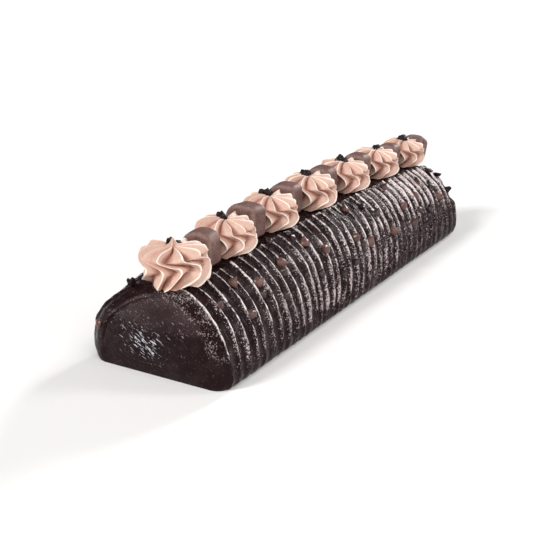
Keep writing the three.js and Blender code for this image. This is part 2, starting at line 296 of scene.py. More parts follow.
def rough(points, size, shift=0.0):
    """Uneven noise from -1 to 1, with bumps of about that size in metres."""
    scaled = points / size + shift
    return np.array([noise.noise(p) for p in scaled.tolist()])


# The shape of the roll


def crown_height(roll, x):
    """Height of the crests in the middle of the roll, at this place along it."""
    return roll.crown - roll.sag * (2 * x / roll.length) ** 2


def strip_height(roll, x):
    """Height of the flat strip that the rosettes and bars stand on."""
    lips = roll.belly + (crown_height(roll, x) - roll.belly) * math.sin(LIP_ANGLE)
    return lips - roll.strip_depth


def rest_height(roll, x, y):
    """Height at which cream rests on the strip, on its lips and on the flanks beyond them."""
    fall = 0.45 * np.maximum(np.abs(y) - FLANK_START, 0)
    over_lip = np.clip((np.abs(y) - LIP_START) / LIP_WIDTH, 0, 1)
    return strip_height(roll, x) + 0.3 * MM + (roll.strip_depth + 0.5 * MM) * over_lip - fall


def shoulder_inset(roll, x, angle):
    """Inset of the rounded shoulders towards the two ends. The far one is tighter low down."""
    near_radius = roll.near_shoulder
    fullness = LOW_SHOULDER + (1 - LOW_SHOULDER) * smooth(np.sin(angle), *SHOULDER_GROWS)
    far_radius = roll.far_shoulder * fullness
    near = np.clip(near_radius - (x + roll.length / 2), 0, near_radius)
    far = np.clip(far_radius - (roll.length / 2 - x), 0, far_radius)
    near_inset = near_radius - np.sqrt(near_radius**2 - near**2)
    far_inset = far_radius - np.sqrt(far_radius**2 - far**2)
    return near_inset + far_inset


def lean(x, angle):
    """How far the combed lines drift towards the near end, low on the flanks."""
    lowness = np.clip(1 - np.sin(angle) / math.sin(math.radians(50)), 0, 1)
    along = smooth(x, -95 * MM, -15 * MM) - 0.65 * smooth(x, 105 * MM, 160 * MM)
    return -DRIFT * along * lowness**1.2


def slump(roll, x, angle):
    """The near end slumps a little on its far side, and spreads at its foot there."""
    nearness = 1 - smooth(x, -roll.length / 2, -roll.length / 2 + SLUMP_LENGTH)
    rise = smooth(angle, math.radians(80), math.radians(112))
    fall = smooth(angle, math.radians(125), math.radians(165))
    return NEAR_SLUMP * nearness * (rise * (1 - fall) - FOOT_SPREAD * fall)


def flank_place(roll, x, angle, depth):
    """The place on the icing at this distance along the roll and this angle round it."""
    depth = depth + float(shoulder_inset(roll, x, angle))
    return Vector((x + float(lean(x, angle)), -(roll.half_width - depth) * math.cos(angle),
                   roll.belly + (crown_height(roll, x) - depth - roll.belly) * math.sin(angle)))


# Corners of the outline round a foot and up a flank, in degrees
TUCK = [90, 76, 62, 48, 34, 20, 8]
FLANK = [*np.linspace(0, 66, 59), 66.8, 67.5, 68.1, 68.6, 69]
# Corners of the outline from a lip to the middle of the strip: share of the way out to the
# lip, and how far down they lie, from the lip to the strip
STRIP_CORNERS = [(0.985, 0.06), (0.965, 0.3), (0.945, 0.62), (0.92, 0.88), (0.88, 0.98),
                 (0.8, 1), (0.68, 1), (0.56, 1), (0.44, 1), (0.3, 1), (0.16, 1)]


def roll_columns(roll):
    """The roll's outline, from the foot of the -Y flank over the top and back under.

    Each column has its y, its height a + b * (crown - belly), the angle of its place,
    how much the comb grips it, and how far it lies on the strip.
    """
    columns = []
    for tuck in np.radians(TUCK):
        reach = roll.foot + (roll.half_width - roll.foot) * math.cos(tuck)
        columns.append((-reach, roll.belly * (1 - math.sin(tuck)), 0, 0, 0.9 * math.cos(tuck), 0))
    for angle in np.radians(FLANK):
        columns.append((-roll.half_width * math.cos(angle), roll.belly, math.sin(angle), angle, 1, 0))
    lip = roll.half_width * math.cos(LIP_ANGLE)
    for share, drop in STRIP_CORNERS:
        angle = math.acos(lip * share / roll.half_width)
        columns.append((-lip * share, roll.belly, math.sin(LIP_ANGLE), angle, 1 - drop, drop))
    mirrored = [(-y, a, b, math.pi - angle, grip, strip) for y, a, b, angle, grip, strip in columns[::-1]]
    middle = (0, roll.belly, math.sin(LIP_ANGLE), math.pi / 2, 0, 1)
    under = [(y, 0, 0, math.pi, 0, 0) for y in np.linspace(roll.foot, -roll.foot, 8)[1:-1]]
    return np.array(columns + [middle] + mirrored + under).T


def ridge_places(roll, chance):
    """Places and heights of the crests along the roll, a little uneven."""
    first = FIRST_CREST - roll.length / 2
    places = [first + roll.pitch * k + 0.8 * MM * chance.uniform(-1, 1) for k in range(roll.ridges)]
    return places, [chance.uniform(0.75, 1.15) for _ in places]


# Steps from one crest to the next, close together where the crest is thin
STEPS = [0, 0.03, 0.065, 0.11, 0.18, 0.29, 0.43, 0.58, 0.71, 0.82, 0.9, 0.945, 0.975]


def roll_rows(roll, chance):
    """Rows of the roll from the near end to the far end.

    Each row has its x, its share of the outline on an end face or 2 off the faces, its
    step from crest to crest or -1, the number of the crest before it and that crest's height.
    """
    half = roll.length / 2
    rows = [(-half, share, -1, 0, 0) for share in np.sin(np.linspace(0, 1, 50) ** 0.85 * np.pi / 2)]
    places, heights = ridge_places(roll, chance)
    first = places[0] + half
    rows += [(-half + first * t**1.6, 2, -1, 0, 0) for t in np.linspace(0.08, 0.93, 7)]
    for k, (place, after) in enumerate(zip(places, [*places[1:], half])):
        rows += [(place + step * (after - place), 2, step, k, heights[k]) for step in STEPS]
    rows += [(half, share, -1, 0, 0) for share in np.cos(np.linspace(0, 1, 16) * np.pi / 2)]
    return np.array(rows).T


def shape_roll(roll, rows, columns):
    """The place of each corner of the roll, and its marks: its painted highlight on a crest or lip,
    how grainy and how wet the icing is there, how strongly its pale specks (painted glints) and
    paler blotches show, and how much painted light lies on the upper part of the near end."""
    x, share, step, crest, crest_height = rows
    y, a, b, angle, grip, strip = columns
    half = roll.length / 2
    on_face = share <= 1
    near = on_face & (x < 0)
    ridged = step >= 0
    step = np.where(ridged, step, 0.5)
    to_crest = np.minimum(step, 1 - step)

    # Over the near shoulder the strip rises until the outline is round.
    fade = smooth(x, -half + 2 * MM, -half + 12 * MM)
    round_b = np.sqrt(np.clip(1 - (y / roll.half_width) ** 2, 0, 1))
    b = np.where(strip > 0, round_b + (b - round_b) * fade, b)
    grip = np.where(strip > 0, 1 - (1 - grip) * fade, grip)
    z = a + b * (crown_height(roll, x) - roll.belly) - roll.strip_depth * strip * fade
    even = np.stack([x, y, z], 1)
    degrees = np.degrees(np.minimum(angle, np.pi - angle))
    blur = 1 - smooth(degrees, 8, 38)

    # Thin combed crests, with icing that rises again towards the next one.
    strand = np.stack([crest * 3.7, np.degrees(angle) / 9, np.zeros_like(x)], 1)
    broken = rough(strand, 1.0, 5.2)
    strength = crest_height * (0.95 + 0.35 * broken) * (1 - 0.25 * blur)
    cord = hump(to_crest, 0.04) * ridged
    low = 1 - 0.6 * smooth(degrees, 42, 66) * (1 - smooth(x, 20 * MM, 90 * MM))
    band = (0.5 + 0.5 * np.cos(2 * np.pi * (step + 0.08))) * ridged
    ramp = (0.72 * low * smooth(step, 0.12, 1.0) * (1 - blur) + 1.1 * band**0.8 * blur) * ridged
    lip = hump(degrees - 68.6, 1.3) * (strip < 0.9) * fade
    lip *= 0.45 + 0.6 * rough(even, 7 * MM, 2.0)
    relief = np.maximum(strength * np.maximum(cord, ramp), lip * ~on_face)

    # Slow lumps, pits that the comb dragged open, and smears low on the flank.
    lumps = 0.6 * np.sin(x / (17 * MM) + 2.1 * angle) + 0.4 * np.sin(x / (7.3 * MM) - 3.7 * angle + 1)
    drag = rough(np.stack([x / 1.2, angle * 9 * MM, np.zeros_like(x)], 1), 1 * MM, 3.0)
    pits = rough(even, 2.2 * MM, 7.0)
    smears = rough(even, 5.5 * MM, 11.0)
    uneven = 0.35 * lumps + 0.1 * drag + (0.14 + 0.14 * blur) * pits + (0.12 + 0.3 * blur) * smears
    level = grip * (roll.ridge_height * (relief - 1) + MM * uneven)

    # The shoulders and the slump draw the outline in, less in height than in width.
    inset = shoulder_inset(roll, x, angle)
    slumped = slump(roll, x, angle)
    narrowed = 1 - (inset + slumped) / roll.half_width
    lowered = 1 - (np.where(x < 0, 0.62, 0.8) * inset + slumped) / roll.crown
    drift = lean(x, angle) * (grip > 0) + 0.5 * MM * np.sin(5 * angle + x / MM) * grip
    drift = np.where(on_face, 0, drift)
    wobble = np.where(ridged, 0.45 * MM * rough(strand * [1, 1.6, 1], 1.0, 8.4) * grip, 0)
    sunken = strip * fade * MM * (0.3 * pits + 0.25 * smears) * ~on_face
    co = np.stack([x + drift + wobble, narrowed * (y - level * np.cos(angle)),
                   lowered * (z + level * np.sin(angle)) + sunken], 1)

    # The end faces are rings about their middle: domed, rippled, with a crease inside the rim.
    middle = np.array([0, 0, roll.face_centre])
    ring = np.where(on_face, share, 1.0)[:, None]
    co[:, 1:] = middle[1:] + ring * (co[:, 1:] - middle[1:])
    arch = smooth(co[:, 2], 10 * MM, 20 * MM)
    crease_at = 0.925 + 0.012 * np.sin(3 * angle) + 0.01 * rough(even, 12 * MM, 3.0)
    left = smooth(angle, math.radians(75), math.radians(105))
    crease = hump(share - crease_at, 0.02) * near * arch * left
    ledge = smooth(share, 0.9, 0.95) * near * arch * left
    inside = smooth(1 - share, 0.0, 0.12)
    ripple = rough(co * [1, 0.4, 1], 1.7 * MM, 4.0)
    lumpy = rough(co, 15 * MM, 9.0)
    patch = hump(co[:, 1] - 6 * MM, 19 * MM) * hump(co[:, 2] - 18 * MM, 9 * MM) * near
    bumps = MM * (0.7 * lumpy + (0.1 + 0.5 * patch) * ripple + 0.1 * rough(co, 2.4 * MM, 1.0))
    out = roll.bulge * (1 - np.clip(share, 0, 1) ** 2.4) - MM * (1.2 * crease - 0.3 * ledge) + bumps * inside
    co[:, 0] += np.where(near, -1, 1) * np.where(on_face, out, 0)

    # The pale crest lines, painted highlights on the crests and lips, run far down near the
    # camera's end, and the grain, with specks painted as glints, shows on the slopes that face that end.
    reach = 12 + 16 * smooth(x, -100 * MM, -30 * MM)
    line = hump(to_crest, 0.042) * ridged * smooth(degrees, reach - 10, reach + 10)
    line *= 1 - smooth(angle, 1.6, 1.8) * (crest < 2)
    shine = np.maximum(line * np.clip(0.85 + 1.1 * broken, 0.1, 1), 0.6 * lip * (broken > -0.1)) * grip
    slope = band**1.3 * (1 - smooth(degrees, 42, 62)) * smooth(degrees, -2, 6)
    far_top = smooth(x, 10 * MM, 90 * MM) * smooth(degrees, 35, 50) * (1 - smooth(degrees, 66, 69))
    far_top *= 1 - 0.6 * smooth(x, 150 * MM, 163 * MM)
    streak = np.clip(0.8 + 1.2 * rough(strand * [1, 0.6, 1], 1.0, 2.0), 0, 1.1)
    beyond = smooth(x, -130 * MM, -75 * MM)
    far_low = smooth(x, 20 * MM, 110 * MM) * (1 - smooth(degrees, 18, 36))
    streak *= (0.85 + 0.25 * beyond) * (1 - 0.65 * far_low)
    # The grain mark sets the bump and how dense the specks painted as glints are: most on the slopes facing
    # the near end, and high at the far end.
    grain = 0.02 + 0.1 * beyond + 0.9 * np.maximum(slope * streak, (0.1 + 1.35 * band) * far_top)
    # Just past each crest it takes the painted glints away, so the groove stays dark as in shade.
    grain -= 0.8 * hump(step - 0.09, 0.06) * ridged * (1 - 0.7 * blur)

    # The near face is grainy over its shoulder and inside its rim, with specks painted as glints,
    # and wet low down, with painted wet glints; its upper part gets painted light.
    streaky = rough(co * [1, 0.5, 1], 5 * MM, 6.0)
    upper = smooth(co[:, 2], 18 * MM, 32 * MM)
    seen = (1 - 0.8 * smooth(angle, 1.4, 1.9)) * smooth(degrees, 2, 20)
    face = 0.1 * patch + 0.25 * upper * (0.6 + streaky)
    face += (0.3 + 0.6 * streaky) * smooth(share, 0.9, 0.97) * arch * seen
    grain = np.where(on_face, np.where(near, face, 0.05), grain)
    combed = smooth(x, COMB_START - half, COMB_START - half + 3 * MM)
    before = (1 - combed) * ~on_face
    grain = np.maximum(grain, (0.5 + 0.7 * streaky) * before * seen)
    wet = np.where(near, np.clip(0.12 + 0.28 * upper + 0.88 * patch, 0, 1), 0)
    # How strongly the pale specks, painted glints, and the paler random blotches show
    pale = 0.35 + (0.35 * combed + 0.3 * smooth(x, -90 * MM, 0)) * ~near
    # Painted light on the upper part of the near end
    painted_face_light = near * smooth(co[:, 2], 25 * MM, 36 * MM) * (0.6 + 0.5 * streaky)
    return co, {"crest": shine * ~on_face, "grain": grain, "wet": wet, "pale": pale, "painted_face_light": painted_face_light}


# Materials


def new_material(name):
    """A new material, its node tree and the coordinates of the piece that wears it."""
    material = bpy.data.materials.new(name)
    material.use_nodes = True
    tree = material.node_tree
    return material, tree, add_node(tree, "TexCoord", output="Object")


def scale_for(size_mm):
    """The scale of a pattern whose bumps are about that many millimetres across."""
    return 1000 / size_mm


def fudge_icing(roll):
    """Dark chocolate fudge icing, combed while soft: nearly black, with a wet gloss and a grainy
    skin. Its pale specks are painted glints, its whitish thin crests painted highlights, and
    the upper part of its near end has painted light."""
    material, tree, place = new_material("chocolate_fudge_icing")
    crest, grain, wet, pale, painted_face_light = [
        add_node(tree, "Attribute", output="Fac", attribute_name=name)
        for name in ("crest", "grain", "wet", "pale", "painted_face_light")]
    blotch = add_node(tree, "TexNoise", {"Vector": place, "Scale": scale_for(8), "Detail": 3})
    shade = add_node(tree, "MapRange", {"Value": blotch, "From Min": 0.45, "To Max": pale})
    # Painted light on the upper part of the near end, added to the paler random blotches
    lightness = add_node(tree, "Math", {0: painted_face_light, 1: 0.8, 2: shade}, operation="MULTIPLY_ADD")
    icing = add_node(tree, "Mix", {"Factor": lightness, "A": roll.colour, "B": roll.blotch_and_light_colour},
                     data_type="RGBA")

    # Pale specks of 0.5 to 1 mm, painted glints, closer together where the skin is grainier
    fine = add_node(tree, "TexNoise", {"Vector": place, "Scale": scale_for(0.85), "Roughness": 0.65})
    grainy = add_node(tree, "Math", {0: grain, 1: 0.23, 2: fine}, operation="MULTIPLY_ADD")
    spot = add_node(tree, "MapRange", {"Value": grainy, "From Min": 0.688, "From Max": 0.728})
    cloud = add_node(tree, "TexNoise", {"Vector": place, "Scale": scale_for(2.2)})
    dim = add_node(tree, "MapRange", {"Value": cloud, "From Min": 0.35, "From Max": 0.58, "To Min": 0.42})
    dim_spot = add_node(tree, "Math", {0: spot, 1: dim}, operation="MULTIPLY")
    pale_spot = add_node(tree, "Math", {0: dim_spot, 1: pale}, operation="MULTIPLY")
    glint_specked = add_node(tree, "Mix", {"Factor": pale_spot, "A": icing, "B": roll.glint_speck_colour},
                      data_type="RGBA")

    # Wet glints on the near face, under 1 mm high and 4 mm long, running down to one side
    along = add_node(tree, "Mapping", {
        "Vector": place, "Rotation": (math.radians(30), 0, 0), "Scale": (1, 5.5, 1)}, vector_type="TEXTURE")
    ripple = add_node(tree, "TexNoise", {"Vector": along, "Scale": scale_for(0.8)})
    rippled = add_node(tree, "Math", {0: wet, 1: 0.22, 2: ripple}, operation="MULTIPLY_ADD")
    glint = add_node(tree, "MapRange", {
        "Value": rippled, "From Min": 0.765, "From Max": 0.81, "To Max": 0.9})
    wet_glint = add_node(tree, "Math", {0: glint, 1: wet}, operation="MULTIPLY")
    glinting = add_node(tree, "Mix", {"Factor": wet_glint, "A": glint_specked, "B": roll.glint_colour},
                        data_type="RGBA")

    # Pale crest lines, painted highlights on the thin crests, thinner and broken in places
    uneven = add_node(tree, "TexNoise", {
        "Vector": place, "Scale": scale_for(1.6), "Detail": 3, "Roughness": 0.6})
    patchy = add_node(tree, "MapRange", {
        "Value": uneven, "From Min": 0.38, "From Max": 0.55, "To Min": 0.45, "To Max": 1.1})
    thin = add_node(tree, "Math", {0: crest, 1: patchy}, operation="MULTIPLY")
    crest_highlight = add_node(tree, "MapRange", {"Value": thin, "From Min": 0.25, "From Max": 0.72, "To Max": 0.95})
    colour = add_node(tree, "Mix", {"Factor": crest_highlight, "A": glinting, "B": roll.crest_highlight_colour},
                      data_type="RGBA")

    # Grain and ripples that stand out, and a gloss that changes from place to place
    lump = add_node(tree, "TexNoise", {
        "Vector": place, "Scale": scale_for(1.2), "Detail": 3, "Roughness": 0.6})
    grains = add_node(tree, "Math", {0: lump, 1: grain}, operation="MULTIPLY")
    ripples = add_node(tree, "Math", {0: ripple, 1: wet}, operation="MULTIPLY")
    height = add_node(tree, "Math", {0: ripples, 1: 3, 2: grains}, operation="MULTIPLY_ADD")
    film = add_node(tree, "TexNoise", {"Vector": place, "Scale": scale_for(2.5), "Detail": 3})
    gloss = add_node(tree, "MapRange", {
        "Value": film, "From Min": 0.35, "From Max": 0.65, "To Min": 0.22, "To Max": 0.34})
    set_inputs(tree.nodes["Principled BSDF"], {
        "Base Color": colour, "Roughness": gloss, "IOR": 1.5, "Specular IOR Level": 0.09,
        "Normal": add_node(tree, "Bump", {"Height": height, "Strength": 1, "Distance": 0.5 * MM})})
    return material


def buttercream(cream):
    """Whipped chocolate buttercream from a star nozzle: soft and satin, light passes a
    little way into it; its pale thin crests are painted highlights, and its darker furrows painted shade."""
    material, tree, place = new_material("piped_buttercream")
    crest = add_node(tree, "Attribute", output="Fac", attribute_name="crest")
    # Painted light from the crest mark: painted shade in the furrows and on their sides, painted highlights
    # on the crests
    shade = add_node(tree, "ValToRGB", {"Fac": crest}, stops=[
        (0.0, cream.furrow_shade_colour), (0.2, cream.shaded_colour), (0.45, cream.colour),
        (0.8, cream.colour), (0.93, cream.crest_highlight_colour)])
    blotch = add_node(tree, "TexNoise", {
        "Vector": place, "Scale": scale_for(2), "Detail": 4, "Roughness": 0.75})
    colour = add_node(tree, "Mix", {"Factor": 0.45, "A": shade, "B": blotch},
                      data_type="RGBA", blend_type="SOFT_LIGHT")
    grain = add_node(tree, "TexNoise", {
        "Vector": place, "Scale": scale_for(0.8), "Detail": 3, "Roughness": 0.6})
    set_inputs(tree.nodes["Principled BSDF"], {
        "Base Color": colour, "Roughness": 0.5, "IOR": 1.45, "Subsurface Weight": 0.12,
        "Subsurface Radius": (1.0, 0.5, 0.35), "Subsurface Scale": 1.6 * MM,
        "Normal": add_node(tree, "Bump", {"Height": grain, "Strength": 0.5, "Distance": 0.2 * MM})})
    return material


def milk_coating(bar):
    """Tempered milk chocolate coating, poured over: smooth with a low sheen, slightly
    wavy, and paler along the edges, partly rubbed and partly painted highlight."""
    material, tree, place = new_material("milk_chocolate_coating")
    blotch = add_node(tree, "TexNoise", {"Vector": place, "Scale": scale_for(7), "Detail": 3})
    shade = add_node(tree, "ValToRGB", {"Fac": blotch}, stops=[
        (0.3, bar.dark_colour), (0.5, bar.colour), (0.75, bar.light_colour)])
    edge = add_node(tree, "Attribute", output="Fac", attribute_name="crest")
    worn_and_highlit = add_node(tree, "Mix", {"Factor": edge, "A": shade, "B": bar.edge_wear_and_highlight_colour}, data_type="RGBA")

    # Faint streaks from top to bottom, and fine bloom
    upright = add_node(tree, "Mapping", {"Vector": place, "Scale": (1, 1, 5)}, vector_type="TEXTURE")
    streak = add_node(tree, "TexNoise", {
        "Vector": upright, "Scale": scale_for(1.6), "Detail": 3, "Roughness": 0.6})
    streaked = add_node(tree, "Mix", {"Factor": 0.45, "A": worn_and_highlit, "B": streak},
                        data_type="RGBA", blend_type="SOFT_LIGHT")
    dust = add_node(tree, "TexNoise", {
        "Vector": place, "Scale": scale_for(1.1), "Detail": 3, "Roughness": 0.7})
    bloom = add_node(tree, "MapRange", {"Value": dust, "From Min": 0.56, "From Max": 0.72, "To Max": 0.45})
    colour = add_node(tree, "Mix", {"Factor": bloom, "A": streaked, "B": bar.bloom_colour},
                      data_type="RGBA")
    waves = add_node(tree, "TexNoise", {
        "Vector": place, "Scale": scale_for(4), "Detail": 4, "Roughness": 0.65})
    set_inputs(tree.nodes["Principled BSDF"], {
        "Base Color": colour, "Roughness": 0.52, "IOR": 1.5, "Specular IOR Level": 0.2,
        "Normal": add_node(tree, "Bump", {"Height": waves, "Strength": 0.5, "Distance": 0.5 * MM})})
    return material


def drop_chocolate(drops):
    """Moulded baking chocolate: reddish brown with a soft gloss, some drops dark."""
    material, tree, place = new_material("chocolate_drops")
    tone = add_node(tree, "Attribute", output="Fac", attribute_name="tone")
    mixed = add_node(tree, "Mix", {"Factor": tone, "A": drops.colour, "B": drops.dark_colour},
                     data_type="RGBA")
    blotch = add_node(tree, "TexNoise", {"Vector": place, "Scale": scale_for(2.5), "Detail": 3})
    colour = add_node(tree, "Mix", {"Factor": 0.5, "A": mixed, "B": blotch},
                      data_type="RGBA", blend_type="SOFT_LIGHT")
    set_inputs(tree.nodes["Principled BSDF"], {
        "Base Color": colour, "Roughness": 0.3, "IOR": 1.5,
        "Normal": add_node(tree, "Bump", {"Height": blotch, "Strength": 0.3, "Distance": 0.3 * MM})})
    return material


def dark_crumb(crumbs):
    """Crumbs of dark chocolate cake: nearly black and rough, with darker patches at random, and pale patches
    at random that are painted glints.
    """
    material, tree, place = new_material("dark_cake_crumbs")
    blotch = add_node(tree, "TexNoise", {
        "Vector": place, "Scale": scale_for(1.5), "Detail": 4, "Roughness": 0.7})
    # Darker patches at random, and pale patches at random that are painted glints
    colour = add_node(tree, "ValToRGB", {"Fac": blotch}, stops=[
        (0.4, crumbs.dark_colour), (0.6, crumbs.colour), (0.75, crumbs.light_colour)])
    set_inputs(tree.nodes["Principled BSDF"], {
        "Base Color": colour, "Roughness": 0.5, "Specular IOR Level": 0.2,
        "Normal": add_node(tree, "Bump", {"Height": blotch, "Strength": 0.7, "Distance": 0.4 * MM})})
    return material


def pale_paper(stage):
    """Matt studio paper: nearly white, with faint patches."""
    material, tree, place = new_material("pale_floor")
    patch = add_node(tree, "TexNoise", {"Vector": place, "Scale": scale_for(60)})
    colour = add_node(tree, "Mix", {"Factor": patch, "A": stage.floor_colour, "B": stage.patch_colour},
                      data_type="RGBA")
    set_inputs(tree.nodes["Principled BSDF"], {"Base Color": colour, "Roughness": 0.9})
    return material


# Operators, one for each kind of piece


class MakeRoll(bpy.types.Operator):
    """The iced roll, combed from end to end"""

    bl_idname = "swiss_roll.make_roll"
    bl_label = "Iced Roll"

    def execute(self, context):
        roll = context.scene.swiss_roll
        rows = roll_rows(roll, random.Random(20))
        columns = roll_columns(roll)
        piece, row, column = ball("iced_roll", columns.shape[1], rows.shape[1] - 1)
        co, marks = shape_roll(roll, rows[:, row], columns[:, column])
        move_corners(piece, co)
        for name, values in marks.items():
            mark_corners(piece, name, values)
        finish_piece(piece, fudge_icing(roll), "icing", "cake_roll")
        return {"FINISHED"}


# Drops on the flank that the camera sees: place along the roll in mm, angle up the flank in
# degrees, and how dark they are from 0 to 1
DROP_PLACES = [
    (-151, 47, 0.6), (-133, 31, 0.4), (-131, 55, 0), (-116, 38, 0.9), (-114, 46, 0), (-110, 36, 0.8),
    (-98, 28, 0.9), (-88, 43, 0.8), (-85, 50, 0), (-76, 68, 0.9), (-58, 61, 1), (-53, 52, 0),
    (-52, 27, 0.9), (-38, 41, 0.1), (-26, 50, 0.9), (-26, 20, 1), (-7, 21, 0.9), (1, 37, 0.1),
    (10, 60, 0.3), (16, 28, 0.1), (31, 56, 0.9), (39, 45, 0.9), (52, 27, 0), (73, 63, 0.6),
    (79, 40, 0.1), (86, 23, 0.6), (100, 31, 0.9), (103, 43, 0.2), (116, 27, 1), (119, 54, 0.5),
    (133, 45, 0.9), (136, 34, 0), (-165, 160, 0.1)]
DROP_SIDES = 10
# Outline of a drop from its tip to its foot: radius and height as shares
DROP_RINGS = [(0, 1.08), (0.1, 0.98), (0.24, 0.82), (0.46, 0.66), (0.74, 0.46), (0.96, 0.22), (1.02, 0.0),
              (0.92, -0.14), (0.6, -0.22), (0, -0.22)]


class MakeDrops(bpy.types.Operator):
    """Chocolate drops scattered on both flanks"""

    bl_idname = "swiss_roll.make_drops"
    bl_label = "Chocolate Drops"

    def execute(self, context):
        roll, drops = context.scene.swiss_roll, context.scene.swiss_roll_drops
        chance = random.Random(7)
        model, row, column = ball("drop_model", DROP_SIDES, len(DROP_RINGS) - 1)
        share, height = (np.array(values)[row] for values in zip(*DROP_RINGS))
        around = 2 * np.pi * column / DROP_SIDES
        reach = drops.radius * share
        co = np.stack([reach * np.cos(around), reach * np.sin(around), drops.height * height], 1)
        move_corners(model, co)
        apply_modifier(model, "SUBSURF", levels=1, render_levels=1)
        shape = corners_of(model)
        copies = []
        # The flank that faces away has the same drops, turned end for end.
        turned = [(-x_mm, 180 - up + chance.uniform(-4, 4), dark)
                  for x_mm, up, dark in DROP_PLACES if up < 90]
        for x_mm, up, dark in DROP_PLACES + turned:
            angle = math.radians(up)
            spot = flank_place(roll, x_mm * MM, angle, roll.ridge_height + 0.3 * MM * dark)
            # A drop lies on the flank with its tip out, turned any way and tipped over a little.
            lie = Matrix.Rotation(math.pi / 2 - angle, 4, "X")
            lie = lie @ Matrix.Rotation(chance.uniform(0, 6.28), 4, "Z")
            lie = lie @ Matrix.Rotation(chance.uniform(0.1, 1.1), 4, "X")
            # Dark ones are smaller, and those past the middle larger.
            size = chance.uniform(0.9, 1.08) - 0.12 * dark + 0.1 * (x_mm > 0)
            place = Matrix.Translation(spot) @ lie @ Matrix.Scale(size, 4)
            copy = model.copy()
            copy.data = model.data.copy()
            context.collection.objects.link(copy)
            dented = shape * (1 + 0.07 * rough(shape, 2.5 * MM, x_mm)[:, None])
            move_corners(copy, dented @ np.array(place.to_3x3()).T + np.array(place.translation))
            mark_corners(copy, "tone", np.full(len(shape), dark))
            copies.append(copy)
        bpy.data.objects.remove(model)
        join_pieces(copies, "chocolate_drops")
        finish_piece(copies[0], drop_chocolate(drops), "bar_coating")
        return {"FINISHED"}


# Rings of a rosette from its peak to its foot: radius and height as shares of the whole,
# how deep the furrows are, and where between two crests the furrow is deepest
ROSETTE_RINGS = [
    (0, 0.86, 0, 0.2), (0.045, 0.862, 0.03, 0.2), (0.11, 0.868, 0.07, 0.2), (0.22, 0.876, 0.12, 0.2),
    (0.36, 0.878, 0.16, 0.2), (0.5, 0.87, 0.19, 0.2), (0.63, 0.853, 0.21, 0.2),
    (0.745, 0.822, 0.225, 0.2), (0.825, 0.782, 0.24, 0.2), (0.88, 0.74, 0.25, 0.2),
    (0.91, 0.703, 0.25, 0.22), (0.925, 0.673, 0.25, 0.27), (0.93, 0.648, 0.24, 0.38),
    (0.935, 0.622, 0.23, 0.52), (0.94, 0.595, 0.22, 0.66), (0.95, 0.565, 0.22, 0.75),
    (0.965, 0.53, 0.22, 0.78), (0.98, 0.495, 0.22, 0.74), (0.99, 0.46, 0.23, 0.66),
    (1.0, 0.425, 0.24, 0.54), (1.005, 0.385, 0.25, 0.42), (1.005, 0.34, 0.26, 0.32),
    (1.0, 0.29, 0.26, 0.26), (0.99, 0.23, 0.26, 0.24), (0.975, 0.165, 0.28, 0.24),
    (0.955, 0.1, 0.32, 0.26), (0.92, 0.04, 0.36, 0.28), (0.85, 0.003, 0.34, 0.3),
    (0.5, 0, 0, 0.5), (0, 0, 0, 0.5)]
# Places of the corners from one crest to the next. The cream falls steeply after a crest,
# into the furrow, and rises slowly to the next: shares of the way, and its height there.
CREST_PARTS = [0, 0.045, 0.11, 0.24, 0.42, 0.6, 0.78, 0.9, 0.958]
AFTER_CREST = [(0, 1), (0.22, 0.45), (0.55, -0.6), (1, -1)]
BEFORE_CREST = [(0, 1), (0.052, 0.72), (0.125, 0.55), (0.3, 0.2), (0.55, -0.35), (0.8, -0.85), (1, -1)]
# Directions of the crests, in degrees from the camera's side, near the peak, at the waist,
# where they hook back, and at the foot. The hand turned while it piped, so that each
# crest runs one way down to the waist, swings over to the hook and comes back.
FIRST_CRESTS = [
    (-5, -29, 12, -22), (8, 17, 47, 1), (34, 55, 84, 30), (70, 88, 112, 66), (108, 120, 146, 102),
    (146, 154, 180, 138), (184, 190, 214, 174), (222, 226, 250, 212), (268, 270, 312, 262),
    (312, 300, 343, 328)]
NEXT_CRESTS = [(36 * k + 2, 36 * k + 13, 36 * k + 38, 36 * k - 6) for k in range(10)]
# How strongly each crest of the first rosette stands out over the waist
FIRST_UPPER = [1, 1, 0.9, 0.9, 1, 1, 1, 0.8, 0.12, 0.15]
# Height of the waist and of the hooks as shares, and how sharply a crest swings over to its
# hook and comes back, on the first rosette and on the others
WAIST = 0.685
FIRST_HOOKS = (0.43, 2.6, 1.45)
NEXT_HOOKS = (0.36, 1.9, 1.8)
# Direction of the camera's side at the first rosette, and how much it turns along the row
CAMERA_SIDE = 216
SIDE_TURN = 13
# How much lower and narrower each rosette was piped than an even row has it, in mm, and how
# much each is lower and narrower than the one before
LOWERED = [1.5, 1.5, 1.2, -0.2, 0, 0.3, -0.3]
NARROWED = [0, 0.9, 0.9, 0.2, 0, 0, 0]
LOWER_EACH = 0.3
NARROWER_EACH = 0.45


